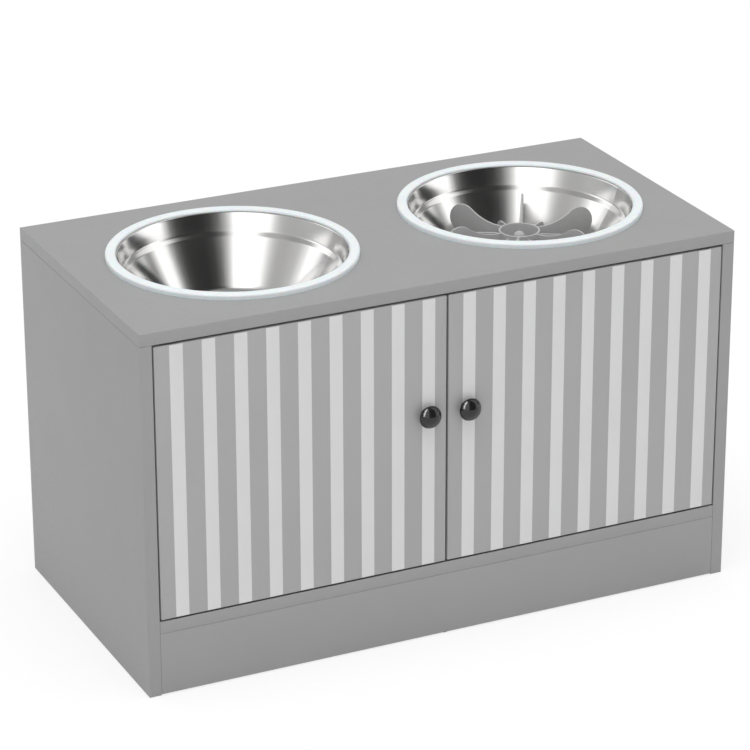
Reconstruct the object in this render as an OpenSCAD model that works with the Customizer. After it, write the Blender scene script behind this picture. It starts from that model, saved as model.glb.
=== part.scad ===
// Raised pet feeder: a flat-pack cabinet whose top holds two lift-out steel bowls.
// Millimetres. X runs along the width, Y from the doors to the back, Z up from the floor.
// The origin is on the floor, in the middle of the space that the whole object takes up.

/* [Cabinet] */
// Width over the side panels
cab_w = 600; // [590:1:720]
// Depth from the front plane to the rear edges
cab_d = 300; // [290:1:400]
// Height of the top face above the floor
cab_h = 355; // [320:1:460]
// Thickness of the coated boards
board_t = 12; // [12:0.5:14]
// Height of the storage floor's underside above the ground
plinth_h = 62; // [45:1:90]
// Gap between the plinth board and the ground
plinth_lift = 1; // [0.5:0.1:3]
// Thickness of the back panel
back_t = 3; // [3:0.5:5]
// Distance of the back panel from the rear edges
back_inset = 10; // [6:1:20]
// Depth of the grooves that hold the back panel
groove_depth = 5; // [3:0.5:6]

/* [Doors] */
// Thickness of a door
door_t = 12; // [11:0.5:13]
// Gap between a door and its side panel
gap_side = 1.5; // [1.3:0.1:3]
// Gap between the two doors
gap_mid = 2.2; // [1:0.1:3]
// Gap above the doors
gap_top = 2.2; // [1:0.1:2.4]
// Gap below the doors
gap_bottom = 1.7; // [0.8:0.1:2.4]
// Distance of the pivot axis from the door's hinge edge
pivot_inset = 16; // [15:0.5:24]

/* [Door stripes] */
// Number of light stripes on a door
stripe_count = 9; // [3:1:9]
// Width of a stripe
stripe_w = 12.8; // [6:0.1:16]
// Distance of the first stripe from the door's left edge
stripe_left = 14.5; // [0:0.1:30]
// Distance of the last stripe from the door's right edge
stripe_right = 11.7; // [0:0.1:30]
// Thickness of the printed strip
stripe_t = 0.15; // [0.1:0.05:0.5]

/* [Knobs] */
// Radius of a knob's widest part
knob_r = 11; // [9:0.5:16]
// Length of a knob from the door's face to its crown
knob_l = 14.5; // [13:0.5:22]
// Radius of the foot that stands on the door
knob_foot_r = 7; // [6.5:0.5:8.5]
// Radius of the waist
knob_waist_r = 5; // [4:0.25:6]
// Distance of the knob's axis from the door's free edge
knob_inset = 19.3; // [14:0.1:40]
// Distance of the knob's axis below the door's top edge
knob_drop = 113.3; // [60:0.1:180]

/* [Bowls] */
// Distance that each bowl stands in from the middle of its half of the cabinet
bowl_draw_in = 1; // [-6:0.5:20]
// Offset of the pair to the right of the middle
bowl_shift = 1.5; // [0:0.1:3]
// Offset of the pair to the front of the middle
bowl_forward = 2; // [0:0.1:5]
// Radius inside the mouth
mouth_r = 107; // [98:0.5:110]
// Depth of the bowl's floor below the cabinet's top face
bowl_depth = 65; // [55:1:85]
// Radius of the flat floor, up to where the wall's slope would meet it
floor_r = 71; // [66:0.5:80]
// Radius of the bend between floor and wall
floor_bend = 12; // [6:0.5:16]
// Depth of the steeper band under the rim
band_depth = 15; // [10:0.5:20]
// How much the band draws in over its depth
band_taper = 5; // [2:0.1:7]
// Width of the stacking ledge under the band
ledge_w = 3.75; // [2:0.25:8]
// Drop of the stacking ledge
ledge_drop = 4; // [3:0.25:8]
// Thickness of the sheet steel
steel_t = 0.8; // [0.6:0.1:1.2]
// Width of the rim's flange
flange_w = 6.5; // [5:0.25:8]
// Clearance between a bowl and its hole
hole_clear = 1.4; // [1:0.1:2.5]

/* [Bowl rings] */
// Width of the soft ring round the rim
ring_w = 10; // [9.5:0.25:13]
// Height of the soft ring
ring_h = 5; // [4.4:0.2:8]
// Rounding of the ring's upper edges
ring_round = 2; // [1:0.25:2.25]
// Thickness of the ring's lip under the flange
ring_lip = 1.5; // [1:0.1:2]

/* [Slow feeder] */
// Number of lobed fins
fin_count = 6; // [3:1:6]
// Thickness of every fin
fin_t = 2; // [1.6:0.1:3]
// Outer radius of the hub
hub_r = 20; // [18:0.5:24]
// Wall of the hub
hub_wall = 2; // [1.6:0.1:3]
// Height of the hub's rim above the bowl's floor
hub_h = 40.5; // [36:0.5:48]
// Depth of the hub's pocket below its rim
hub_pocket = 20; // [12:0.5:24]
// Radius that the lobes reach
lobe_reach = 79; // [60:0.5:80]
// Radius of a lobe's round end
lobe_r = 15; // [11:0.5:18]
// Height of a lobe's crown above the hub's rim
lobe_rise = 13; // [6:0.5:16]
// Drop of a lobed fin's flat top below the hub's rim
fin_drop = 0.3; // [0.1:0.1:1]
// Flat stretch of a fin's top edge beside the hub
fin_flat = 4; // [0:0.5:8]
// Radius at which a lobed fin's foot ends
fin_foot = 44; // [30:0.5:50]
// Radius that the short fins reach
stub_reach = 44.5; // [34:0.5:50]
// Radius of a short fin's round corner
stub_corner = 7; // [4:0.5:9]
// Drop of the short fins below the hub's rim
stub_drop = 3.5; // [1:0.5:10]
// Radius of the domed boss in the hub
boss_r = 5.75; // [5.5:0.25:7]
// Drop of the boss's crown below the hub's rim
boss_drop = 1.5; // [0.5:0.25:6]
// Radius of the suction cup's lip
cup_r = 17; // [14:0.25:17.5]
// Height of the suction cup's bell
cup_h = 8; // [6:0.5:11]

/* [Hidden] */
$fn = 96;

// Overrun of every cut
over = 1;
// Radial room of a part that is pressed or glued in its hole
seat = 0.02;
// Room at the end of a blind hole
end_room = 0.5;

// Places of the cabinet's planes
front_y = (knob_l - cab_d) / 2;
back_y = front_y + cab_d;
mid_y = front_y + cab_d / 2;
inner_x = cab_w / 2 - board_t;
top_z = cab_h - board_t;
floor_z = plinth_h + board_t;
side_mid_x = cab_w / 2 - board_t / 2;
left_bowl_x = bowl_shift + bowl_draw_in - cab_w / 4;
right_bowl_x = bowl_shift - bowl_draw_in + cab_w / 4;
bowl_y = mid_y - bowl_forward;
bowl_hole_r = mouth_r + steel_t + hole_clear;

// Back panel in its grooves
back_front_y = back_y - back_inset - back_t;
groove_clear = 0.1;
tongue = groove_depth - end_room / 2;

// Flat-pack joints
joint_inset = 50;
dowel_step = 32;
joint_ys = [front_y + joint_inset, back_y - joint_inset];
dowel_ys = [front_y + joint_inset + dowel_step, back_y - joint_inset - dowel_step];
cam_r = 6;
cam_depth = 9.5;
cam_play = 0.2;
cam_slot_w = 1.6;
cam_slot_l = 8;
cam_slot_depth = 1.5;
bolt_reach = 24;
bolt_r = 2.5;
bolt_thread_l = 9;
bolt_collar_r = 3.4;
bolt_collar_h = 2;
bolt_neck_r = 1.8;
bolt_head_r = 2.8;
bolt_head_h = 3;
bolt_hole_r = 3.6;
dowel_r = 3;
dowel_l = 29;
dowel_face_l = 9;
dowel_chamfer = 1;
plinth_bolt_share = 0.64;
plinth_dowel_share = 0.32;
plinth_mid_z = plinth_lift + (plinth_h - plinth_lift) * plinth_bolt_share;
plinth_dowel_z = plinth_lift + (plinth_h - plinth_lift) * plinth_dowel_share;
plinth_mid_y = front_y + board_t / 2;
floor_dowel_shares = [-0.6, 0, 0.6];
glide_r = 5;
glide_nail_r = 1;
glide_nail_l = 12;

// Doors
door_w = inner_x - gap_side - gap_mid / 2;
door_low_z = floor_z + gap_bottom;
door_top_z = top_z - gap_top;
door_h = door_top_z - door_low_z;
door_back_y = front_y + door_t;
pivot_x = inner_x - gap_side - pivot_inset;
pivot_y = front_y + door_t / 2;
pin_r = 2.5;
pin_clear = 0.05;
pin_depth = 20;
pin_reach = 7.5;
bush_r = 4;
bush_depth = 9;
bush_flange_r = 5.5;
door_room = 0.4;
bush_flange_t = min(gap_top, gap_bottom) - door_room;
knob_x = gap_mid / 2 + knob_inset;
knob_z = door_top_z - knob_drop;
stripe_pitch = (door_w - stripe_left - stripe_right - stripe_w) / (stripe_count - 1);
stripe_margin = 0.5;
// Left edge of the door on a side, minus one for the left one
function door_x(side) = side < 0 ? -gap_mid / 2 - door_w : gap_mid / 2;
// Left edge of stripe i on that door
function stripe_x(side, i) = door_x(side) + stripe_left + i * stripe_pitch;

// Knobs: how high the rim sits, and how far its rounding runs under it
knob_rim_share = 0.48;
knob_edge_r = 1.6;
knob_under = 60;
knob_foot_h = 1.2;

// Knob screws
screw_r = 2;
screw_hole_r = 2.25;
screw_head_r = 4;
screw_head_h = 2.4;
screw_cross_w = 0.8;
screw_cross_depth = 1.2;
screw_grip = 8;
knob_bore_l = 9;

// Magnetic catches
catch_x = 34;
catch_w = 22;
catch_d = 13;
catch_h = 13;
ear_w = 9;
ear_t = 3;
catch_screw_r = 1.5;
catch_screw_hole_r = 1.8;
catch_screw_head_r = 2.8;
catch_screw_head_h = 1.8;
catch_screw_l = 8;
magnet_w = 17;
magnet_d = 8;
magnet_h = 6;
pole_t = 1;
pole_proud = 0.8;
catch_gap = 0.2;
strike_w = 20;
strike_h = 8;
strike_t = 1.2;
strike_screw_r = 1.25;
strike_screw_l = 8;
strike_head_r = 2.6;
catch_front_y = door_back_y + strike_t + catch_gap + pole_proud;
catch_mid_z = top_z - catch_h / 2;

// Bowls and rings, measured from the cabinet's top face
rim_z = ring_lip + steel_t / 2;
rim_bend = 1.6;
ledge_bend = 6;
ring_gap = 0.05;

// Slow feeder, measured from the bowl's floor
feeder_lift = 0.2;
fin_lift = 1.5;
web_t = 2;
socket_r = 3.4;
bulb_r = 3.2;
stem_r = 2.6;
cup_hollow = 2.4;
cup_lip = 0.6;
cup_eye_share = 0.25;
cup_flare_share = 0.7;

// Unit vector along v
function unit(v) = v / norm(v);
// Vector turned a quarter turn to the left
function quarter(v) = [-v[1], v[0]];
// Angle brought between minus 180 and 180
function wrap(a) = a > 180 ? a - 360 : a < -180 ? a + 360 : a;
// Points on an arc
function arc(centre, r, start, sweep, steps) =
    [for (i = [0 : steps]) centre + r * [cos(start + sweep * i / steps), sin(start + sweep * i / steps)]];
// Points on a cubic curve from a to d, drawn towards b and c
function bezier(a, b, c, d, steps) =
    [for (i = [0 : steps])
        let (t = i / steps, s = 1 - t)
        s * s * s * a + 3 * s * s * t * b + 3 * s * t * t * c + t * t * t * d];
// Bend of radius r at corner b, coming along u and leaving along v
function bend(b, u, v, r, steps) =
    let (half = acos(-(u * v)) / 2)
    let (centre = b + unit(v - u) * r / sin(half))
    let (a0 = atan2((b - u * r / tan(half) - centre)[1], (b - u * r / tan(half) - centre)[0]))
    let (a1 = atan2((b + v * r / tan(half) - centre)[1], (b + v * r / tan(half) - centre)[0]))
    arc(centre, r, a0, wrap(a1 - a0), steps);
// Corner b between a and c, moved d to the left of the path
function shifted(a, b, c, d) =
    let (m = quarter(unit(b - a)), n = quarter(unit(c - b)))
    b + d * (m + n) / (1 + m * n);
// One face of a bent sheet: the path moved d to the left, with its bends
function sheet_face(path, radii, d, steps) =
    let (last = len(path) - 1)
    concat(
        [path[0] + d * quarter(unit(path[1] - path[0]))],
        [for (i = [1 : last - 1])
            let (u = unit(path[i] - path[i - 1]), v = unit(path[i + 1] - path[i]))
            each bend(shifted(path[i - 1], path[i], path[i + 1], d), u, v,
                radii[i - 1] - d * sign(cross(u, v)), steps)],
        [path[last] + d * quarter(unit(path[last] - path[last - 1]))]
    );
// Outline of a bent sheet of thickness t
function sheet(path, radii, t, steps) =
    let (back = sheet_face(path, radii, -t / 2, steps), last = len(back) - 1)
    concat(sheet_face(path, radii, t / 2, steps), [for (i = [0 : last]) back[last - i]]);

// Flat-pack hardware, each in its own small frame

// Bolt along +Z, its collar on the plane of zero height
module cam_bolt() {
    translate([0, 0, -bolt_thread_l])
        cylinder(h = bolt_thread_l, r = bolt_r - seat);
    cylinder(h = bolt_collar_h, r = bolt_collar_r);
    cylinder(h = bolt_reach, r = bolt_neck_r);
    translate([0, 0, bolt_reach - bolt_head_h / 2])
        cylinder(h = bolt_head_h, r = bolt_head_r);
}

// Room for a bolt along +Z
module bolt_room(thread_room) {
    translate([0, 0, -thread_room])
        cylinder(h = thread_room + over, r = bolt_r);
}

// Hole along +Z from a board's edge to its cam
module bolt_way() {
    translate([0, 0, -over])
        cylinder(h = bolt_reach + over, r = bolt_hole_r);
}

// Cam sunk below the plane of zero height, its bolt coming in along +X
module cam_lock() {
    difference() {
        translate([0, 0, -cam_depth])
            cylinder(h = cam_depth, r = cam_r - seat);
        translate([0, 0, -board_t / 2])
            rotate([0, -90, 0])
                cylinder(h = cam_r + over, r = bolt_head_r + cam_play);
        translate([0, 0, -board_t / 2])
            rotate([0, 90, 0])
                cylinder(h = bolt_head_h, r = bolt_head_r + cam_play);
        for (turn = [0, 90])
            rotate([0, 0, turn])
                translate([-cam_slot_l / 2, -cam_slot_w / 2, -cam_slot_depth])
                    cube([cam_slot_l, cam_slot_w, cam_slot_depth + over]);
    }
}

// Pocket for a cam
module cam_pocket() {
    translate([0, 0, -cam_depth])
        cylinder(h = cam_depth + over, r = cam_r);
}

// Dowel along +Z, its shorter end below the plane of zero height
module dowel() {
    translate([0, 0, -dowel_face_l]) {
        cylinder(h = dowel_chamfer, r1 = dowel_r - dowel_chamfer, r2 = dowel_r - seat);
        translate([0, 0, dowel_chamfer])
            cylinder(h = dowel_l - 2 * dowel_chamfer, r = dowel_r - seat);
        translate([0, 0, dowel_l - dowel_chamfer])
            cylinder(h = dowel_chamfer, r1 = dowel_r - seat, r2 = dowel_r - dowel_chamfer);
    }
}

// Hole for a dowel along +Z, through both boards
module dowel_room() {
    translate([0, 0, -dowel_face_l - end_room])
        cylinder(h = dowel_l + 2 * end_room, r = dowel_r);
}

// Places of the joints: each puts its children with +Z from the face board into the edge

// Under the top panel, over the side panels' middle
module at_top_joints(sides, ys) {
    for (side = sides, y = ys)
        translate([side * side_mid_x, y, top_z])
            rotate([180, 0, 0])
                children();
}

// On the side panels' inner faces, at the storage floor
module at_floor_joints(sides, ys) {
    for (side = sides, y = ys)
        translate([side * inner_x, y, plinth_h + board_t / 2])
            rotate([0, -side * 90, 0])
                children();
}

// On the side panels' inner faces, at the plinth
module at_plinth_joints(sides, z) {
    for (side = sides)
        translate([side * inner_x, plinth_mid_y, z])
            rotate([0, -side * 90, 0])
                children();
}

// Under the storage floor, down into the plinth
module at_plinth_dowels() {
    for (share = floor_dowel_shares)
        translate([share * inner_x, plinth_mid_y, plinth_h])
            rotate([180, 0, 0])
                children();
}

// Places of the cams: each puts its children with +Z out of the board's open face

module at_side_cams(sides) {
    for (side = sides, y = joint_ys)
        translate([side * inner_x, y, top_z - bolt_reach])
            rotate([0, -side * 90, 0])
                rotate([0, 0, side < 0 ? 0 : 180])
                    children();
}

module at_floor_cams() {
    for (side = [-1, 1], y = joint_ys)
        translate([side * (inner_x - bolt_reach), y, plinth_h])
            rotate([180, 0, side < 0 ? 0 : 180])
                children();
}

module at_plinth_cams() {
    for (side = [-1, 1])
        translate([side * (inner_x - bolt_reach), front_y + board_t, plinth_mid_z])
            rotate([-90, 0, 0])
                rotate([0, 0, side < 0 ? 0 : 180])
                    children();
}

// Cabinet boards

module top_panel() {
    color([0.65, 0.65, 0.65])
        difference() {
            translate([-cab_w / 2, front_y, top_z])
                cube([cab_w, cab_d, board_t]);
            for (x = [left_bowl_x, right_bowl_x])
                translate([x, bowl_y, top_z - over])
                    cylinder(h = board_t + 2 * over, r = bowl_hole_r);
            back_groove(top_z, top_z + groove_depth);
            at_top_joints([-1, 1], joint_ys)
                bolt_room(bolt_thread_l + end_room);
            at_top_joints([-1, 1], dowel_ys)
                dowel_room();
            for (side = [-1, 1])
                translate([side * pivot_x, pivot_y, top_z - over])
                    cylinder(h = bush_depth + over, r = bush_r);
            at_catch_screws()
                cylinder(h = catch_screw_l, r = catch_screw_r);
        }
}

// Room of the back panel between two heights, with its grooves
module back_groove(z_low, z_high) {
    translate([-inner_x - groove_depth, back_front_y - groove_clear, z_low])
        cube([2 * (inner_x + groove_depth), back_t + 2 * groove_clear, z_high - z_low]);
}

module side_panel(side) {
    color([0.62, 0.62, 0.62])
        difference() {
            translate([side * side_mid_x - board_t / 2, front_y, 0])
                cube([board_t, cab_d, top_z]);
            back_groove(floor_z - groove_depth, top_z + over);
            at_top_joints([side], joint_ys)
                bolt_way();
            at_top_joints([side], dowel_ys)
                dowel_room();
            at_side_cams([side])
                cam_pocket();
            at_floor_joints([side], joint_ys)
                bolt_room(bolt_thread_l + end_room);
            at_floor_joints([side], dowel_ys)
                dowel_room();
            at_plinth_joints([side], plinth_mid_z)
                bolt_room(bolt_thread_l + end_room);
            at_plinth_joints([side], plinth_dowel_z)
                dowel_room();
        }
}

module left_side_panel() {
    side_panel(-1);
}

module right_side_panel() {
    side_panel(1);
}

module bottom_panel() {
    color([0.62, 0.62, 0.62])
        difference() {
            translate([-inner_x, front_y, plinth_h])
                cube([2 * inner_x, cab_d, board_t]);
            back_groove(floor_z - groove_depth, floor_z + over);
            at_floor_joints([-1, 1], joint_ys)
                bolt_way();
            at_floor_joints([-1, 1], dowel_ys)
                dowel_room();
            at_floor_cams()
                cam_pocket();
            at_plinth_dowels()
                dowel_room();
            for (side = [-1, 1])
                translate([side * pivot_x, pivot_y, floor_z - bush_depth])
                    cylinder(h = bush_depth + over, r = bush_r);
        }
}

module plinth_board() {
    color([0.6, 0.6, 0.6])
        difference() {
            translate([-inner_x, front_y, plinth_lift])
                cube([2 * inner_x, board_t, plinth_h - plinth_lift]);
            at_plinth_joints([-1, 1], plinth_mid_z)
                bolt_way();
            at_plinth_joints([-1, 1], plinth_dowel_z)
                dowel_room();
            at_plinth_cams()
                cam_pocket();
            at_plinth_dowels()
                dowel_room();
            translate([0, plinth_mid_y, plinth_lift - over])
                cylinder(h = glide_nail_l + over + end_room, r = glide_nail_r);
        }
}

module back_panel() {
    color([0.7, 0.7, 0.7])
        translate([-inner_x - tongue, back_front_y, floor_z - tongue])
            cube([2 * (inner_x + tongue), back_t, top_z - floor_z + 2 * tongue]);
}

module plinth_glide() {
    color([0.2, 0.2, 0.2])
        translate([0, plinth_mid_y, 0]) {
            cylinder(h = plinth_lift, r1 = glide_r - plinth_lift / 2, r2 = glide_r);
            cylinder(h = plinth_lift + glide_nail_l, r = glide_nail_r - seat);
        }
}

// Flat-pack hardware in place

module cam_bolts() {
    color([0.75, 0.75, 0.72]) {
        at_top_joints([-1, 1], joint_ys)
            cam_bolt();
        at_floor_joints([-1, 1], joint_ys)
            cam_bolt();
        at_plinth_joints([-1, 1], plinth_mid_z)
            cam_bolt();
    }
}

module cam_locks() {
    color([0.7, 0.7, 0.7]) {
        at_side_cams([-1, 1])
            cam_lock();
        at_floor_cams()
            cam_lock();
        at_plinth_cams()
            cam_lock();
    }
}

module dowels() {
    color([0.8, 0.65, 0.45]) {
        at_top_joints([-1, 1], dowel_ys)
            dowel();
        at_floor_joints([-1, 1], dowel_ys)
            dowel();
        at_plinth_joints([-1, 1], plinth_dowel_z)
            dowel();
        at_plinth_dowels()
            dowel();
    }
}

// Door pivots: bushes in the boards and pins in the doors

// Flanged bush, its sleeve going up from the plane of zero height
module bush() {
    difference() {
        union() {
            cylinder(h = bush_depth - end_room, r = bush_r - seat);
            translate([0, 0, -bush_flange_t])
                cylinder(h = bush_flange_t, r = bush_flange_r);
        }
        translate([0, 0, -bush_flange_t - over])
            cylinder(h = bush_depth + bush_flange_t + 2 * over, r = pin_r + pin_clear);
    }
}

module pivot_bushes() {
    color([0.9, 0.9, 0.88])
        for (side = [-1, 1]) {
            translate([side * pivot_x, pivot_y, top_z])
                bush();
            translate([side * pivot_x, pivot_y, floor_z])
                rotate([180, 0, 0])
                    bush();
        }
}

module door_pins(side) {
    color([0.75, 0.75, 0.75]) {
        translate([side * pivot_x, pivot_y, door_top_z - pin_depth])
            cylinder(h = pin_depth + gap_top + pin_reach, r = pin_r);
        translate([side * pivot_x, pivot_y, floor_z - pin_reach])
            cylinder(h = pin_depth + gap_bottom + pin_reach, r = pin_r);
    }
}

module left_door_pins() {
    door_pins(-1);
}

module right_door_pins() {
    door_pins(1);
}

// Doors with all that rides on them

module door(side) {
    color([0.64, 0.64, 0.64])
        difference() {
            translate([door_x(side), front_y, door_low_z])
                cube([door_w, door_t, door_h]);
            for (z = [door_top_z - pin_depth - end_room, door_low_z - over])
                translate([side * pivot_x, pivot_y, z])
                    cylinder(h = pin_depth + end_room + over, r = pin_r + seat);
            translate([side * knob_x, front_y - over, knob_z])
                rotate([-90, 0, 0])
                    cylinder(h = door_t + 2 * over, r = screw_hole_r);
            translate([side * catch_x, door_back_y + over, catch_mid_z])
                rotate([90, 0, 0])
                    cylinder(h = strike_screw_l + over, r = strike_screw_r);
        }
}

module left_door() {
    door(-1);
}

module right_door() {
    door(1);
}

// Light strips, cut away under the knob's foot
module door_stripes(side) {
    color([0.82, 0.82, 0.82])
        difference() {
            for (i = [0 : stripe_count - 1])
                translate([stripe_x(side, i), front_y - stripe_t, door_low_z + stripe_margin])
                    cube([stripe_w, stripe_t, door_h - 2 * stripe_margin]);
            translate([side * knob_x, front_y - stripe_t - over, knob_z])
                rotate([-90, 0, 0])
                    cylinder(h = stripe_t + 2 * over, r = knob_foot_r + seat);
        }
}

module left_door_stripes() {
    door_stripes(-1);
}

module right_door_stripes() {
    door_stripes(1);
}

// Turned knob: a foot, a waist, a rounded rim and a domed face
module knob(side) {
    rim = [knob_r - knob_edge_r, knob_l * knob_rim_share];
    crown = knob_l - rim[1];
    dome_r = (rim[0] * rim[0] + crown * crown - knob_edge_r * knob_edge_r) / (2 * (crown - knob_edge_r));
    dome = [0, knob_l - dome_r];
    meet = atan2(rim[1] - dome[1], rim[0]);
    under = rim + knob_edge_r * [cos(knob_under), -sin(knob_under)];
    color([0.08, 0.08, 0.08])
        translate([side * knob_x, front_y, knob_z])
            rotate([90, 0, 0])
                difference() {
                    rotate_extrude()
                        polygon(concat(
                            [[0, 0], [knob_foot_r, 0]],
                            bezier(
                                [knob_foot_r, knob_foot_h],
                                [knob_waist_r, knob_foot_h],
                                [knob_waist_r, under[1]],
                                under,
                                12
                            ),
                            arc(rim, knob_edge_r, -knob_under, knob_under + meet, 8),
                            arc(dome, dome_r, meet, 90 - meet, 16)
                        ));
                    translate([0, 0, -over])
                        cylinder(h = knob_bore_l + over, r = screw_r + seat);
                }
}

module left_knob() {
    knob(-1);
}

module right_knob() {
    knob(1);
}

module knob_screw(side) {
    color([0.75, 0.75, 0.75])
        translate([side * knob_x, door_back_y, knob_z])
            rotate([90, 0, 0]) {
                cylinder(h = door_t + screw_grip, r = screw_r);
                translate([0, 0, -screw_head_h])
                    difference() {
                        cylinder(h = screw_head_h, r1 = screw_head_r - screw_head_h / 2, r2 = screw_head_r);
                        for (turn = [0, 90])
                            rotate([0, 0, turn])
                                translate([-screw_r, -screw_cross_w / 2, -over])
                                    cube([2 * screw_r, screw_cross_w, screw_cross_depth + over]);
                    }
            }
}

module left_knob_screw() {
    knob_screw(-1);
}

module right_knob_screw() {
    knob_screw(1);
}

// Magnetic catches under the top panel and their strike plates on the doors

// Screws' places, with +Z up into the top panel
module at_catch_screws() {
    for (side = [-1, 1], ear = [-1, 1])
        translate([
            side * catch_x + ear * (catch_w + ear_w) / 2,
            catch_front_y + catch_d / 2,
            top_z
        ])
            children();
}

module catch_housings() {
    color([0.85, 0.85, 0.83])
        for (side = [-1, 1])
            difference() {
                union() {
                    translate([side * catch_x - catch_w / 2, catch_front_y, top_z - catch_h])
                        cube([catch_w, catch_d, catch_h]);
                    translate([side * catch_x - catch_w / 2 - ear_w, catch_front_y, top_z - ear_t])
                        cube([catch_w + 2 * ear_w, catch_d, ear_t]);
                }
                translate([
                    side * catch_x - magnet_w / 2 - groove_clear,
                    catch_front_y - over,
                    catch_mid_z - magnet_h / 2 - pole_t - groove_clear
                ])
                    cube([
                        magnet_w + 2 * groove_clear,
                        magnet_d + over + groove_clear,
                        magnet_h + 2 * pole_t + 2 * groove_clear
                    ]);
                at_catch_screws()
                    translate([0, 0, -ear_t - over])
                        cylinder(h = ear_t + 2 * over, r = catch_screw_hole_r);
            }
}

module catch_magnets() {
    for (side = [-1, 1]) {
        color([0.25, 0.25, 0.26])
            translate([side * catch_x - magnet_w / 2, catch_front_y, catch_mid_z - magnet_h / 2])
                cube([magnet_w, magnet_d, magnet_h]);
        color([0.7, 0.7, 0.7])
            for (z = [catch_mid_z - magnet_h / 2 - pole_t, catch_mid_z + magnet_h / 2])
                translate([side * catch_x - magnet_w / 2, catch_front_y - pole_proud, z])
                    cube([magnet_w, magnet_d + pole_proud, pole_t]);
    }
}

module catch_screws() {
    color([0.75, 0.75, 0.75])
        at_catch_screws() {
            translate([0, 0, -ear_t])
                cylinder(h = ear_t + catch_screw_l - end_room, r = catch_screw_r - seat);
            translate([0, 0, -ear_t - catch_screw_head_h])
                cylinder(
                    h = catch_screw_head_h,
                    r1 = catch_screw_head_r - catch_screw_head_h / 2,
                    r2 = catch_screw_head_r
                );
        }
}

module strike_plate(side) {
    color([0.78, 0.78, 0.78])
        difference() {
            translate([side * catch_x - strike_w / 2, door_back_y, catch_mid_z - strike_h / 2])
                cube([strike_w, strike_t, strike_h]);
            translate([side * catch_x, door_back_y, catch_mid_z])
                rotate([-90, 0, 0])
                    cylinder(h = strike_t, r1 = strike_screw_r + seat, r2 = strike_head_r + seat);
        }
}

module left_strike_plate() {
    strike_plate(-1);
}

module right_strike_plate() {
    strike_plate(1);
}

module strike_screw(side) {
    color([0.7, 0.7, 0.7])
        translate([side * catch_x, door_back_y, catch_mid_z]) {
            rotate([-90, 0, 0])
                cylinder(h = strike_t, r1 = strike_screw_r - seat, r2 = strike_head_r);
            rotate([90, 0, 0])
                cylinder(h = strike_screw_l - end_room, r = strike_screw_r - seat);
        }
}

module left_strike_screw() {
    strike_screw(-1);
}

module right_strike_screw() {
    strike_screw(1);
}

// Bowls

// Middle line of the pressed sheet, from the floor's centre to the flange's edge
bowl_path = [
    [0, -bowl_depth - steel_t / 2],
    [floor_r, -bowl_depth - steel_t / 2],
    [mouth_r - band_taper - ledge_w, -band_depth - ledge_drop],
    [mouth_r - band_taper, -band_depth],
    [mouth_r + steel_t / 2, rim_z],
    [mouth_r + steel_t / 2 + flange_w, rim_z]
];
bowl_bends = [floor_bend, ledge_bend, ledge_bend, rim_bend];

module bowl(x) {
    color([0.8, 0.81, 0.82])
        translate([x, bowl_y, cab_h])
            rotate_extrude()
                polygon(sheet(bowl_path, bowl_bends, steel_t, 8));
}

module left_bowl() {
    bowl(left_bowl_x);
}

module right_bowl() {
    bowl(right_bowl_x);
}

// Soft ring: a band with rounded upper edges and a slot that grips the flange
module bowl_ring(x) {
    inner_r = mouth_r + steel_t / 2;
    flange_edge = inner_r + flange_w;
    color([0.92, 0.95, 0.95])
        translate([x, bowl_y, cab_h])
            rotate_extrude()
                difference() {
                    union() {
                        for (r = [inner_r + ring_round, inner_r + ring_w - ring_round])
                            translate([r, ring_h - ring_round])
                                circle(r = ring_round);
                        translate([inner_r + ring_round, 0])
                            square([ring_w - 2 * ring_round, ring_h]);
                        translate([inner_r, 0])
                            square([ring_w, ring_h - ring_round]);
                    }
                    translate([mouth_r - over, ring_lip - ring_gap])
                        square([flange_edge + ring_gap - mouth_r + over, steel_t + 2 * ring_gap]);
                    translate([mouth_r - over, -over])
                        square([steel_t + rim_bend + over, ring_lip + over]);
                }
}

module left_bowl_ring() {
    bowl_ring(left_bowl_x);
}

module right_bowl_ring() {
    bowl_ring(right_bowl_x);
}

// Slow feeder: heights from here on count from the bowl's floor

// Outline of a lobed fin in [radius, height]: a leaf whose top edge sweeps up to a round lobe
module lobed_fin_outline() {
    lobe = [lobe_reach - lobe_r, hub_h + lobe_rise - lobe_r];
    fin_top = hub_h - fin_drop;
    sweep_x = hub_r + fin_flat;
    run = lobe[0] - sweep_x;
    drop = fin_top - lobe[1];
    sweep_r = (run * run + drop * drop - lobe_r * lobe_r) / (2 * (lobe_r - drop));
    sweep = [sweep_x, fin_top + sweep_r];
    foot = [fin_foot, fin_lift];
    reach = norm(lobe - foot);
    heading = atan2(lobe[1] - foot[1], lobe[0] - foot[0]) - asin(lobe_r / reach);
    heel = foot + sqrt(reach * reach - lobe_r * lobe_r) * [cos(heading), sin(heading)];
    crest = lobe + lobe_r * unit(sweep - lobe);
    difference() {
        union() {
            polygon([
                [hub_r - hub_wall / 2, fin_lift],
                foot,
                heel,
                lobe,
                crest,
                [lobe[0] - lobe_r, hub_h + lobe_rise],
                [sweep_x, fin_top],
                [hub_r - hub_wall / 2, fin_top]
            ]);
            translate(lobe)
                circle(r = lobe_r);
        }
        translate(sweep)
            circle(r = sweep_r);
    }
}

// Outline of a short fin in [radius, height]
module short_fin_outline() {
    top = hub_h - stub_drop;
    polygon([
        [hub_r - hub_wall / 2, fin_lift],
        [stub_reach - stub_corner, fin_lift],
        [stub_reach, top - stub_corner],
        [stub_reach - stub_corner, top],
        [hub_r - hub_wall / 2, top]
    ]);
    translate([stub_reach - stub_corner, top - stub_corner])
        circle(r = stub_corner);
}

// Fins stood up round the hub from a flat outline
module stand_fin(angle) {
    rotate([0, 0, angle])
        translate([0, fin_t / 2, 0])
            rotate([90, 0, 0])
                linear_extrude(height = fin_t)
                    children();
}

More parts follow.
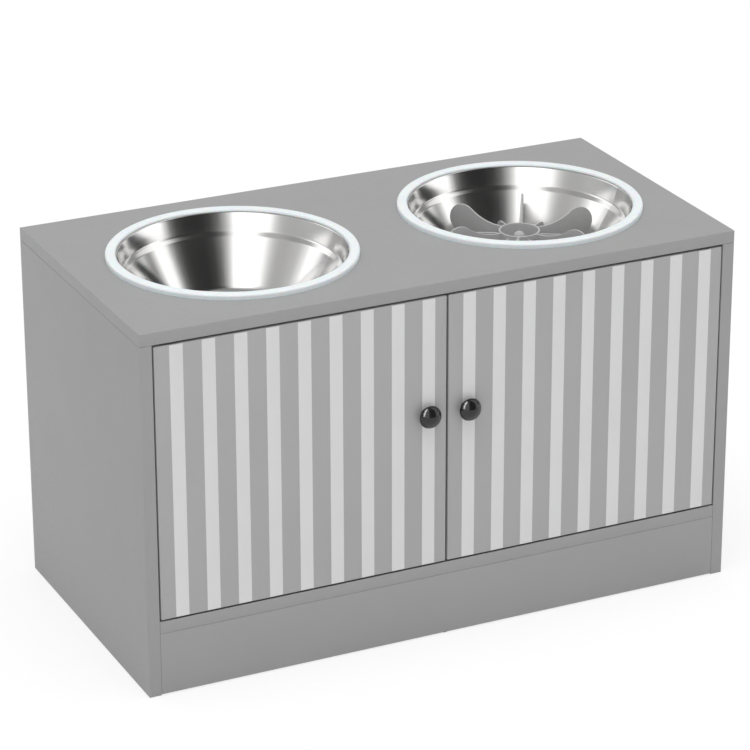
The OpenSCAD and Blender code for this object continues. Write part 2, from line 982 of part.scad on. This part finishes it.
module slow_feeder() {
    web_z = hub_h - hub_pocket - web_t;
    boss_top = hub_h - boss_drop;
    color([0.56, 0.56, 0.56])
        translate([right_bowl_x, bowl_y, cab_h - bowl_depth + feeder_lift]) {
            difference() {
                translate([0, 0, fin_lift / 2])
                    cylinder(h = hub_h - fin_lift / 2, r = hub_r);
                translate([0, 0, web_z + web_t])
                    cylinder(h = hub_pocket + over, r = hub_r - hub_wall);
                cylinder(h = web_z, r = hub_r - hub_wall);
                socket();
            }
            difference() {
                union() {
                    translate([0, 0, web_z])
                        cylinder(h = boss_top - boss_r - web_z, r = boss_r);
                    translate([0, 0, boss_top - boss_r])
                        sphere(r = boss_r);
                }
                socket();
            }
            for (i = [0 : fin_count - 1]) {
                stand_fin(i * 360 / fin_count)
                    lobed_fin_outline();
                stand_fin((i + 0.5) * 360 / fin_count)
                    short_fin_outline();
            }
        }
}

// Blind socket under the boss that holds the suction cup's stem
module socket() {
    web_z = hub_h - hub_pocket - web_t;
    translate([0, 0, web_z - over])
        cylinder(h = 2 * bulb_r + web_t + over, r = socket_r);
}

// Suction cup: a bell with a hollow underside, and a stem with a bulb in the boss
module feeder_suction_cup() {
    web_z = hub_h - hub_pocket - web_t;
    color([0.75, 0.77, 0.78, 0.9])
        translate([right_bowl_x, bowl_y, cab_h - bowl_depth + feeder_lift]) {
            rotate_extrude()
                polygon(concat(
                    [[0, cup_hollow]],
                    bezier(
                        [cup_r * cup_eye_share, cup_hollow],
                        [cup_r * cup_flare_share, cup_hollow],
                        [cup_r * cup_flare_share, 0],
                        [cup_r, 0],
                        10
                    ),
                    bezier(
                        [cup_r, cup_lip],
                        [cup_r * cup_flare_share, cup_lip + cup_hollow],
                        [stem_r, cup_h - cup_hollow],
                        [stem_r, cup_h],
                        10
                    ),
                    [[0, cup_h]]
                ));
            translate([0, 0, cup_hollow])
                cylinder(h = web_z + web_t - cup_hollow, r = stem_r);
            translate([0, 0, web_z + bulb_r])
                sphere(r = bulb_r);
        }
}

top_panel();
left_side_panel();
right_side_panel();
bottom_panel();
plinth_board();
back_panel();
plinth_glide();
cam_bolts();
cam_locks();
dowels();
pivot_bushes();
catch_housings();
catch_magnets();
catch_screws();
left_door();
left_door_stripes();
left_door_pins();
left_knob();
left_knob_screw();
left_strike_plate();
left_strike_screw();
right_door();
right_door_stripes();
right_door_pins();
right_knob();
right_knob_screw();
right_strike_plate();
right_strike_screw();
left_bowl();
left_bowl_ring();
right_bowl();
right_bowl_ring();
slow_feeder();
feeder_suction_cup();
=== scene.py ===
"""Looks of the raised double pet feeder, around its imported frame.

Metres, +Z up, +X to the right across the doors, the doors towards -Y.
"""
import math

import bmesh
import bpy
from mathutils import Matrix, Vector


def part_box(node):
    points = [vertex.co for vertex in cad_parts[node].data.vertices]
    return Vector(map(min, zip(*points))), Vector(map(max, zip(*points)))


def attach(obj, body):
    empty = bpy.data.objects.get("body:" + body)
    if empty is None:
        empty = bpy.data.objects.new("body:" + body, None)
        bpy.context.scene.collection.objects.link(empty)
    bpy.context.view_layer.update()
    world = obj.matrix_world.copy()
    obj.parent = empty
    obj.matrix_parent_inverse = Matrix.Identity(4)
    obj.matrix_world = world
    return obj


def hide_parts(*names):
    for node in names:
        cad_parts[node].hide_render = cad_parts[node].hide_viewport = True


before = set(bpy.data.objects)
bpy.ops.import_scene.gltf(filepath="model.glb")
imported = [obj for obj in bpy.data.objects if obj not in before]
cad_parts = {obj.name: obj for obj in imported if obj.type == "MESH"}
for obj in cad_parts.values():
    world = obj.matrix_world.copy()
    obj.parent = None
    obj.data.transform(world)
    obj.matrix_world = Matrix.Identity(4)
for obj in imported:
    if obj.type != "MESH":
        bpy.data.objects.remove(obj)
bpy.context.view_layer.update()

# Finish of the shapes
MM = 0.001
ARRIS = 0.6 * MM  # rounding of the boards' outer edges
FIN_ARRIS = 0.35 * MM  # rounding of the slow feeder's edges
FIN_EDGE = math.radians(60)  # the feeder's edges above this angle are rounded
ARRIS_STEPS = 3
ROUND_PROFILE = 0.5  # a quarter circle
WELD = 0.01 * MM  # points nearer than this are one
FLAT = math.radians(0.5)  # faces that meet below this angle become one
SHARP = math.radians(35)  # edges above this angle stay sharp in the shading

# Camera, as solved from the corners of the cabinet: its angles are degrees from +X towards +Y,
# upwards, and around its own axis, and its sensor and lens are in millimetres
VIEW_AZIMUTH = -115.415
VIEW_ELEVATION = 22.708
VIEW_ROLL = -0.155
VIEW_DISTANCE = 3.3568
VIEW_TARGET = (0.02766, 0.06947, 0.178)
SENSOR = 36.0
LENS = 165.125
CLIP_START = 0.1
CLIP_END = 60.0

# Lamps, in metres, watts and degrees, and the even light of the sky
SKY = 0.69
SOFTBOX_SIZE = (5.2, 5.2)
SOFTBOX_PLACE = (-0.7, -1.2, 6.4)
SOFTBOX_AIM = (0, 0, 0.2)
SOFTBOX_POWER = 220.0
STRIP_SIZE = (0.8, 4.6)
STRIP_AZIMUTH = -154
STRIP_ELEVATION = 42
STRIP_DISTANCE = 3.4
STRIP_AIM = (0, 0, 0.25)
STRIP_POWER = 150.0

# Floor: its shade is the share of the shadow in what the eye sees, its bounce the grey that
# lights the object from below
FLOOR_SIZE = 30.0
FLOOR_CELLS = 4
FLOOR_DROP = 0.1 * MM
FLOOR_SHADE = 0.27
FLOOR_BOUNCE = 0.9
BACKDROP = 1.0  # strength at which the open floor and the background are white

# Brightness of the studio as polished metal sees it, in four rings of screens above each other:
# degrees from +X towards +Y, and brightness. The upper three are alike on the camera's side.
CAMERA_SIDE = (
    (-180, 0.5), (-172, 0.5), (-166, 0.6), (-160, 0.85), (-154, 1.3), (-148, 1.5), (-115, 1.5),
    (-109, 0.8), (-104, 0.45), (-97, 0.15), (-88, 0.05), (-76, 0.03), (-60, 0.035),
)
SCREENS = (
    (
        (-180, 0.5), (-172, 0.5), (-164, 0.55), (-158, 0.75), (-152, 1.25), (-147, 1.5),
        (-116, 1.5), (-110, 0.75), (-105, 0.4), (-98, 0.13), (-90, 0.045), (-78, 0.02),
        (-64, 0.025), (-55, 0.06), (-48, 0.2), (-42, 0.7), (-37, 1.4), (0, 1.4), (9, 0.6),
        (20, 0.35), (50, 0.2), (100, 0.2), (120, 0.3), (135, 0.4), (150, 0.52), (165, 0.54),
        (180, 0.5),
    ),
    CAMERA_SIDE + (
        (-50, 0.06), (-42, 0.16), (-36, 0.5), (-30, 1.3), (-18, 1.4), (-12, 0.7), (-6, 0.25),
        (2, 0.14), (14, 0.2), (40, 0.5), (90, 0.6), (112, 0.8), (120, 1.3), (148, 1.4),
        (156, 0.9), (164, 0.6), (180, 0.5),
    ),
    CAMERA_SIDE + (
        (-50, 0.06), (-42, 0.16), (-36, 0.5), (-30, 1.3), (-18, 1.4), (-12, 1.3), (-4, 1.2),
        (6, 0.95), (16, 0.75), (30, 0.5), (90, 0.6), (112, 0.8), (120, 1.3), (148, 1.4),
        (156, 0.9), (164, 0.6), (180, 0.5),
    ),
    CAMERA_SIDE + (
        (-50, 0.03), (-42, 0.04), (-36, 0.1), (-29, 0.3), (-23, 0.9), (-17, 1.35), (-8, 1.4),
        (0, 1.2), (10, 0.8), (30, 0.5), (130, 0.44), (150, 0.4), (160, 0.35), (170, 0.42),
        (180, 0.5),
    ),
)
CEILING = 0.3
# Elevations between which each ring gives way to the next, and the last one to the ceiling
SCREENS_MEET = ((12, 18), (21, 27), (33, 39), (66, 84))


# Colours

def linear(level):
    """Linear value of a level from 0 to 255 on a screen, by the sRGB curve."""
    share = level / 255
    if share <= 0.04045:
        return share / 12.92
    return ((share + 0.055) / 1.055) ** 2.4


def rgb(red, green, blue):
    """Linear colour of a screen colour."""
    return (linear(red), linear(green), linear(blue), 1.0)


def grey(value):
    """Colour of a linear grey."""
    return (value, value, value, 1.0)


def shade(colour, share):
    """A colour made lighter or darker."""
    return tuple(min(1.0, c * share) for c in colour[:3]) + (1.0,)


WHITE = grey(1.0)
CARCASS = rgb(157, 157, 157)
CORE_DARK = rgb(168, 140, 106)
CORE_LIGHT = rgb(196, 170, 134)
DOOR = rgb(170, 170, 170)
STRIPE = rgb(216, 216, 216)
HARDBOARD = rgb(168, 168, 168)
STEEL = (0.80, 0.795, 0.785, 1.0)
SILICONE = rgb(232, 238, 240)
FEEDER_GREY = rgb(178, 178, 178)
KNOB_BLACK = (0.010, 0.010, 0.011, 1.0)
ZINC_PLATE = (0.66, 0.66, 0.64, 1.0)
CAST_ZINC = grey(0.52)
NYLON = rgb(232, 232, 228)
BLACK_PLASTIC = rgb(38, 38, 38)
VINYL = rgb(205, 208, 210)
FERRITE = rgb(46, 46, 48)
BEECH = rgb(205, 170, 125)
BEECH_DARK = rgb(186, 146, 100)
BEECH_LIGHT = rgb(222, 190, 146)

# Textures
NOISE_RANGE = (0.3, 0.7)  # where most of a noise lies
CORE_DEPTH = 0.6 * MM  # cuts deeper than this show a board's bare core
CORE_ROUGHNESS = 0.85


# Nodes

MIX_COLOURS = (6, 7)  # numbers of a Mix node's two colour inputs
MIX_RESULT = 2  # and of its colour output


class Graph:
    """A node tree that its helpers add nodes to. Inputs take an output or a plain value."""

    def __init__(self, tree):
        self.nodes = tree.nodes
        self.links = tree.links

    def feed(self, node, inputs):
        """Links or sets inputs of a node, by their names or numbers, and gives the node back."""
        for name, value in inputs.items():
            if isinstance(value, bpy.types.NodeSocket):
                self.links.new(value, node.inputs[name])
            else:
                node.inputs[name].default_value = value
        return node

    def add(self, kind, inputs):
        """The first output of a new node with these inputs."""
        return self.feed(self.nodes.new("ShaderNode" + kind), inputs).outputs[0]

    def math(self, operation, a, b):
        """A number worked out from two."""
        node = self.nodes.new("ShaderNodeMath")
        node.operation = operation
        return self.feed(node, {0: a, 1: b}).outputs[0]

    def vector(self, operation, a, b=(0, 0, 0)):
        """A vector worked out from one or two, or the length of one."""
        node = self.nodes.new("ShaderNodeVectorMath")
        node.operation = operation
        self.feed(node, {0: a, 1: b})
        return node.outputs["Value" if operation == "LENGTH" else "Vector"]

    def split(self, vector):
        """The three parts of a vector."""
        return self.feed(self.nodes.new("ShaderNodeSeparateXYZ"), {0: vector}).outputs

    def span(self, value, start, end, low=0.0, high=1.0, course="LINEAR"):
        """A value between start and end, brought to between low and high."""
        node = self.nodes.new("ShaderNodeMapRange")
        node.interpolation_type = course
        return self.feed(node, {
            "Value": value, "From Min": start, "From Max": end, "To Min": low, "To Max": high,
        }).outputs["Result"]

    def mix(self, factor, a, b):
        """Colour that goes from a to b with the factor."""
        node = self.nodes.new("ShaderNodeMix")
        node.data_type = "RGBA"
        self.feed(node, {0: factor, MIX_COLOURS[0]: a, MIX_COLOURS[1]: b})
        return node.outputs[MIX_RESULT]

    def blend(self, factor, a, b):
        """Shader that goes from a to b with the factor."""
        return self.add("MixShader", {0: factor, 1: a, 2: b})

    def background(self, colour, strength):
        """Light of a colour from the world."""
        return self.add("Background", {"Color": colour, "Strength": strength})

    def rays(self, *kinds):
        """A number that is one for a ray of any of these kinds, and zero for others."""
        path = self.nodes.new("ShaderNodeLightPath")
        output = path.outputs[kinds[0]]
        for kind in kinds[1:]:
            output = self.math("MAXIMUM", output, path.outputs[kind])
        return output


class Look(Graph):
    """A Principled material, whose textures lie on object coordinates in metres.

    The plain colour and roughness stand in wherever the textures aren't read.
    """

    def __init__(self, name, colour, roughness, **sockets):
        self.material = bpy.data.materials.new(name)
        self.material.use_nodes = True
        super().__init__(self.material.node_tree)
        self.place = self.nodes.new("ShaderNodeTexCoord").outputs["Object"]
        self.set(Base_Color=colour, Roughness=roughness, **sockets)

    def set(self, **sockets):
        """Feeds sockets of the shader, whose names have an underscore for each space."""
        inputs = {name.replace("_", " "): value for name, value in sockets.items()}
        self.feed(self.nodes["Principled BSDF"], inputs)

    def finish(self, colour, roughness, normal):
        """The material, once its textures are on it."""
        self.set(Base_Color=colour, Roughness=roughness, Normal=normal)
        return self.material

    def noise(self, size, detail=2.0, stretch=(1, 1, 1), place=None):
        """Noise whose features are about size across, drawn out along an axis by stretch."""
        scale = tuple(1 / (size * share) for share in stretch)
        vector = self.vector("MULTIPLY", place or self.place, scale)
        return self.add("TexNoise", {"Vector": vector, "Scale": 1.0, "Detail": detail})

    def spread(self, noise, low, high):
        """Noise spread over low to high."""
        return self.span(noise, *NOISE_RANGE, low, high)

    def tone(self, noise, colour, dark, light):
        """A colour that goes from its dark to its light share with the noise."""
        return self.mix(self.spread(noise, 0, 1), shade(colour, dark), shade(colour, light))

    def bump(self, height, depth, below=None):
        """Bump of a height from 0 to 1 over a depth, on top of one below."""
        inputs = {"Height": height, "Distance": depth}
        if below:
            inputs["Normal"] = below
        return self.add("Bump", inputs)


# Materials

def cut_depth(look, node):
    """How far a point lies inside the node's own box: zero on its outer faces, more in a cut."""
    low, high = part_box(node)
    offset = look.vector("SUBTRACT", look.place, tuple((low + high) / 2))
    inside = look.vector("SUBTRACT", tuple((high - low) / 2), look.vector("ABSOLUTE", offset))
    x, y, z = look.split(inside)
    return look.math("MINIMUM", look.math("MINIMUM", x, y), z)


def coated_board(node, colour):
    """Satin coated fibreboard, with its bare core in the holes and grooves."""
    look = Look("coated_" + node, colour, roughness=0.48, Specular_IOR_Level=0.22)
    cut = look.math("GREATER_THAN", cut_depth(look, node), CORE_DEPTH)
    cloud = look.noise(60 * MM, detail=3.0)
    speck = look.noise(0.5 * MM, detail=1.0)
    fibre = look.noise(0.35 * MM, detail=4.0, stretch=(3, 3, 1))
    tone = look.tone(cloud, colour, dark=0.985, light=1.015)
    coat = look.mix(look.spread(speck, low=0, high=0.25), tone, shade(colour, 0.9))
    core = look.mix(look.spread(fibre, low=0, high=1), CORE_DARK, CORE_LIGHT)
    satin = look.spread(look.noise(4 * MM), low=0.44, high=0.53)
    peel = look.bump(look.noise(1.6 * MM), depth=0.012 * MM)
    grain = look.bump(speck, depth=0.008 * MM, below=peel)
    return look.finish(
        colour=look.mix(cut, coat, core),
        roughness=look.math("MAXIMUM", satin, look.math("MULTIPLY", cut, CORE_ROUGHNESS)),
        normal=look.bump(look.math("MULTIPLY", fibre, cut), depth=0.12 * MM, below=grain),
    )


def hardboard():
    """Thin hardboard with a grey face."""
    look = Look("faced_hardboard", HARDBOARD, roughness=0.55, Specular_IOR_Level=0.3)
    cloud = look.noise(40 * MM, detail=3.0)
    grain = look.noise(1.2 * MM, detail=3.0, stretch=(1, 1, 1.5))
    return look.finish(
        colour=look.tone(cloud, HARDBOARD, dark=0.97, light=1.03),
        roughness=look.spread(look.noise(2 * MM), low=0.5, high=0.62),
        normal=look.bump(grain, depth=0.02 * MM),
    )


def printed_stripe():
    """Light printed film on the doors."""
    look = Look("printed_stripe", STRIPE, roughness=0.42, Specular_IOR_Level=0.25)
    speck = look.noise(0.4 * MM, detail=1.0)
    tone = look.tone(look.noise(50 * MM), STRIPE, dark=0.985, light=1.01)
    return look.finish(
        colour=look.mix(look.spread(speck, low=0, high=0.2), tone, shade(STRIPE, 0.92)),
        roughness=look.spread(look.noise(3 * MM), low=0.38, high=0.46),
        normal=look.bump(look.noise(1.4 * MM), depth=0.01 * MM),
    )


def polished_steel(node):
    """Bright pressed steel, with the fine rings that its polishing leaves."""
    look = Look("polished_steel_" + node, STEEL, roughness=0.15, Metallic=1.0)
    low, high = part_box(node)
    axis = ((low.x + high.x) / 2, (low.y + high.y) / 2, 0)
    offset = look.vector("MULTIPLY", look.vector("SUBTRACT", look.place, axis), (1, 1, 0))
    radius = look.vector("LENGTH", offset)
    height = look.split(look.place)[2]
    along = look.add("CombineXYZ", {0: look.math("ADD", radius, height)})
    rings = look.noise(0.35 * MM, detail=3.0, place=along)
    smear = look.noise(25 * MM, detail=3.0)
    brushed = look.spread(rings, low=0, high=0.03)
    return look.finish(
        colour=look.tone(smear, STEEL, dark=1, light=0.97),
        roughness=look.math("ADD", look.spread(smear, low=0.10, high=0.15), brushed),
        normal=look.bump(rings, depth=0.0006 * MM),
    )


def silicone():
    """Smooth pale silicone of the rings."""
    look = Look(
        "pale_silicone", SILICONE, roughness=0.36,
        Specular_IOR_Level=0.45, Subsurface_Weight=0.3, Subsurface_Scale=3 * MM,
    )
    return look.finish(
        colour=look.tone(look.noise(14 * MM), SILICONE, dark=0.98, light=1.01),
        roughness=look.spread(look.noise(2 * MM), low=0.3, high=0.42),
        normal=look.bump(look.noise(0.5 * MM), depth=0.006 * MM),
    )


def moulded(name, colour, roughness, grain, depth, **sockets):
    """Moulded plastic or rubber with a fine spark-eroded grain."""
    look = Look(name, colour, roughness, **sockets)
    return look.finish(
        colour=look.tone(look.noise(12 * MM), colour, dark=0.97, light=1.03),
        roughness=look.spread(
            look.noise(1.5 * MM), low=roughness * 0.88, high=roughness * 1.12,
        ),
        normal=look.bump(look.noise(grain), depth),
    )


def glossy_black():
    """High-gloss black of the knobs."""
    look = Look("glossy_black", KNOB_BLACK, roughness=0.1, Specular_IOR_Level=0.5)
    smear = look.noise(5 * MM, detail=3.0)
    return look.finish(
        colour=look.tone(smear, KNOB_BLACK, dark=1, light=1.5),
        roughness=look.spread(smear, low=0.1, high=0.14),
        normal=look.bump(look.noise(2.5 * MM), depth=0.003 * MM),
    )


def metal(name, colour, roughness, grain, depth):
    """Plated or cast metal of the small fittings."""
    look = Look(name, colour, roughness, Metallic=1.0)
    tarnish = look.noise(3 * MM, detail=4.0)
    return look.finish(
        colour=look.tone(tarnish, colour, dark=0.9, light=1.05),
        roughness=look.spread(tarnish, low=roughness * 0.8, high=roughness * 1.25),
        normal=look.bump(look.noise(grain, detail=3.0), depth),
    )


def beech():
    """Bare beech of the dowels, with its grain drawn out upwards."""
    look = Look("bare_beech", BEECH, roughness=0.6, Specular_IOR_Level=0.3)
    grain = look.noise(0.8 * MM, detail=4.0, stretch=(1, 1, 8))
    return look.finish(
        colour=look.mix(look.spread(grain, low=0, high=1), BEECH_DARK, BEECH_LIGHT),
        roughness=look.spread(grain, low=0.5, high=0.7),
        normal=look.bump(grain, depth=0.05 * MM),
    )


# Shapes

def add_object(name, data):
    """A new object in the scene."""
    new = bpy.data.objects.new(name, data)
    bpy.context.scene.collection.objects.link(new)
    return new


def cleaned(node):
    """The shape of a node, with its doubled points and its flat seams gone."""
    shape = bmesh.new()
    shape.from_mesh(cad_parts[node].data)
    bmesh.ops.remove_doubles(shape, verts=shape.verts, dist=WELD)
    bmesh.ops.dissolve_limit(shape, angle_limit=FLAT, verts=shape.verts, edges=shape.edges)
    return shape


def outer_edges(shape, low, high):
    """The edges that run along the arrises of a board's box."""
    found = []
    for edge in shape.edges:
        planes = 0
        for axis in range(3):
            for plane in (low[axis], high[axis]):
                planes += all(abs(vert.co[axis] - plane) < WELD for vert in edge.verts)
        if planes > 1:
            found.append(edge)
    return found


def sharp_edges(shape, angle):
    """The edges where two faces meet more steeply than an angle."""
    inner = [edge for edge in shape.edges if len(edge.link_faces) == 2]
    return [edge for edge in inner if edge.calc_face_angle(0) > angle]


def round_off(shape, edges, width):
    """Rounds edges of a shape."""
    bmesh.ops.bevel(
        shape, geom=edges, offset=width, offset_type="OFFSET", segments=ARRIS_STEPS,
        profile=ROUND_PROFILE, affect="EDGES", clamp_overlap=False,
    )


def stand_in(node, shape, body, material):
    """Makes a shape into the piece that stands for a node."""
    mesh = bpy.data.meshes.new(node + "_eased")
    shape.to_mesh(mesh)
    shape.free()
    mesh.materials.append(material)
    for face in mesh.polygons:
        face.use_smooth = True
    mesh.set_sharp_from_angle(angle=SHARP)
    piece = add_object(node + "_eased", mesh)
    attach(piece, body)
    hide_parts(node)


# Pieces

BOARDS = (
    ("top_panel", "cabinet", "board_top", CARCASS),
    ("left_side_panel", "cabinet", "board", CARCASS),
    ("right_side_panel", "cabinet", "board", CARCASS),
    ("bottom_panel", "cabinet", "board", CARCASS),
    ("plinth_board", "cabinet", "board", CARCASS),
    ("left_door", "left_door", "door_board", DOOR),
    ("right_door", "right_door", "door_board", DOOR),
)
SIDES = ("left_", "right_")


def make_boards():
    """Boards and doors with eased edges."""
    for node, body, slot, colour in BOARDS:
        shape = cleaned(node)
        round_off(shape, outer_edges(shape, *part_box(node)), ARRIS)
        stand_in(node, shape, body, coated_board(node, colour))


def make_feeder():
    """Slow feeder with eased edges."""
    plastic = moulded(
        "grey_feeder_plastic", FEEDER_GREY, roughness=0.4, grain=0.45 * MM, depth=0.01 * MM,
    )
    shape = cleaned("slow_feeder")
    round_off(shape, sharp_edges(shape, FIN_EDGE), FIN_ARRIS)
    stand_in("slow_feeder", shape, "slow_feeder", plastic)


def fittings():
    """Materials of the hardware and the other small nodes."""
    plated = metal(
        "bright_zinc_plate", ZINC_PLATE, roughness=0.28, grain=0.6 * MM, depth=0.004 * MM,
    )
    cast = metal("cast_zinc", CAST_ZINC, roughness=0.45, grain=0.5 * MM, depth=0.02 * MM)
    nylon = moulded(
        "white_nylon", NYLON, roughness=0.42, grain=0.5 * MM, depth=0.012 * MM,
        Subsurface_Weight=0.1,
    )
    black = moulded(
        "black_plastic", BLACK_PLASTIC, roughness=0.45, grain=0.5 * MM, depth=0.012 * MM,
    )
    vinyl = moulded(
        "soft_vinyl", VINYL, roughness=0.25, grain=0.8 * MM, depth=0.004 * MM,
        Transmission_Weight=0.35,
    )
    ferrite = moulded("ferrite", FERRITE, roughness=0.5, grain=0.3 * MM, depth=0.02 * MM)
    looks = {
        "plinth_glide": black, "cam_bolts": plated, "cam_locks": cast, "dowels": beech(),
        "pivot_bushes": black, "catch_housings": nylon, "catch_magnets": ferrite,
        "catch_screws": plated, "feeder_suction_cup": vinyl,
    }
    for side in SIDES:
        for name in ("door_pins", "knob_screw", "strike_plate", "strike_screw"):
            looks[side + name] = plated
    return looks


def dress_nodes():
    """Gives the nodes that keep their own shape their materials."""
    looks = fittings()
    looks["back_panel"] = hardboard()
    stripe, ring, knob = printed_stripe(), silicone(), glossy_black()
    for side in SIDES:
        looks[side + "door_stripes"] = stripe
        looks[side + "bowl_ring"] = ring
        looks[side + "knob"] = knob
        looks[side + "bowl"] = polished_steel(side + "bowl")
    for node, material in looks.items():
        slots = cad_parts[node].data.materials
        slots.clear()
        slots.append(material)


# Studio

def direction(azimuth, elevation):
    """Unit vector of two angles in degrees, the azimuth from +X towards +Y."""
    azimuth, elevation = math.radians(azimuth), math.radians(elevation)
    return Vector((
        math.cos(azimuth) * math.cos(elevation),
        math.sin(azimuth) * math.cos(elevation),
        math.sin(elevation),
    ))


def make_camera():
    """The camera, at the photograph's viewing angle."""
    data = bpy.data.cameras.new("camera")
    data.sensor_width = SENSOR
    data.lens = LENS
    data.clip_start = CLIP_START
    data.clip_end = CLIP_END
    camera = add_object("camera", data)
    back = direction(VIEW_AZIMUTH, VIEW_ELEVATION)
    place = Matrix.Translation(Vector(VIEW_TARGET) + back * VIEW_DISTANCE)
    roll = Matrix.Rotation(math.radians(VIEW_ROLL), 4, "Z")
    camera.matrix_world = place @ back.to_track_quat("Z", "Y").to_matrix().to_4x4() @ roll
    bpy.context.scene.camera = camera


def floor_material():
    """Open floor is white to the eye and to polished metal, and the shadow stays."""
    material = bpy.data.materials.new("floor")
    material.use_nodes = True
    graph = Graph(material.node_tree)
    graph.nodes.clear()
    glow = graph.add("Emission", {"Color": WHITE, "Strength": BACKDROP})
    shaded = graph.add("BsdfDiffuse", {"Color": WHITE})
    bounce = graph.add("BsdfDiffuse", {"Color": grey(FLOOR_BOUNCE)})
    direct = graph.rays("Is Camera Ray", "Is Glossy Ray", "Is Transmission Ray")
    surface = graph.blend(direct, bounce, graph.blend(FLOOR_SHADE, glow, shaded))
    graph.feed(graph.nodes.new("ShaderNodeOutputMaterial"), {"Surface": surface})
    return material


def make_floor():
    """Plain white floor, just under the object."""
    mesh = bpy.data.meshes.new("floor")
    shape = bmesh.new()
    bmesh.ops.create_grid(
        shape, x_segments=FLOOR_CELLS, y_segments=FLOOR_CELLS, size=FLOOR_SIZE / 2,
    )
    shape.to_mesh(mesh)
    shape.free()
    mesh.materials.append(floor_material())
    floor = add_object("floor", mesh)
    floor.location.z = -FLOOR_DROP


def screen_ring(graph, turn, stops, brightest):
    """Colour of one ring of screens at a turn from 0 to 1, as a share of the brightest."""
    ramp = graph.feed(graph.nodes.new("ShaderNodeValToRGB"), {0: turn})
    ramp.color_ramp.interpolation = "EASE"
    elements = ramp.color_ramp.elements
    elements.remove(elements[1])
    for i, (degrees, brightness) in enumerate(stops):
        position = (degrees + 180) / 360
        stop = elements.new(position) if i else elements[0]
        stop.position = position
        stop.color = grey(brightness / brightest)
    return ramp.outputs[0]


def make_world():
    """Even white light, a white background, and rings of screens for reflections."""
    world = bpy.data.worlds.new("studio")
    bpy.context.scene.world = world
    world.use_nodes = True
    graph = Graph(world.node_tree)
    graph.nodes.clear()
    x, y, z = graph.split(graph.nodes.new("ShaderNodeTexCoord").outputs["Generated"])
    turn = graph.span(graph.math("ARCTAN2", y, x), -math.pi, math.pi)
    brightest = max(brightness for ring in SCREENS for _, brightness in ring)
    studio, *higher = [screen_ring(graph, turn, ring, brightest) for ring in SCREENS]
    higher.append(grey(CEILING / brightest))
    for colour, meet in zip(higher, SCREENS_MEET):
        start, end = (math.sin(math.radians(degrees)) for degrees in meet)
        studio = graph.mix(graph.span(z, start, end, course="SMOOTHSTEP"), studio, colour)
    sky = graph.background(WHITE, SKY)
    screens = graph.background(studio, brightest)
    light = graph.blend(graph.rays("Is Glossy Ray"), sky, screens)
    direct = graph.rays("Is Camera Ray", "Is Transmission Ray")
    surface = graph.blend(direct, light, graph.background(WHITE, BACKDROP))
    graph.feed(graph.nodes.new("ShaderNodeOutputWorld"), {"Surface": surface})


def add_lamp(name, size, power, place, aim):
    """A flat lamp at a place that faces its aim."""
    data = bpy.data.lights.new(name, "AREA")
    data.shape = "RECTANGLE"
    data.size, data.size_y = size
    data.energy = power
    lamp = add_object(name, data)
    lamp.location = place
    lamp.rotation_mode = "QUATERNION"
    lamp.rotation_quaternion = (Vector(place) - Vector(aim)).to_track_quat("Z", "Y")
    return lamp


def make_softbox():
    """One large soft lamp high above the front, a little to the left."""
    lamp = add_lamp("softbox", SOFTBOX_SIZE, SOFTBOX_POWER, SOFTBOX_PLACE, SOFTBOX_AIM)
    lamp.visible_glossy = False


def make_strip():
    """A tall narrow lamp on the left that only shows as a highlight on the knobs."""
    place = Vector(STRIP_AIM) + direction(STRIP_AZIMUTH, STRIP_ELEVATION) * STRIP_DISTANCE
    lamp = add_lamp("strip", STRIP_SIZE, STRIP_POWER, place, STRIP_AIM)
    lamp.visible_diffuse = False
    lamp.visible_camera = False
    lit = bpy.data.collections.new("lit_by_strip")
    for side in SIDES:
        lit.objects.link(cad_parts[side + "knob"])
    lamp.light_linking.receiver_collection = lit


make_camera()
make_floor()
make_world()
make_softbox()
make_strip()
make_boards()
make_feeder()
dress_nodes()
bpy.context.scene.view_settings.view_transform = "Standard"
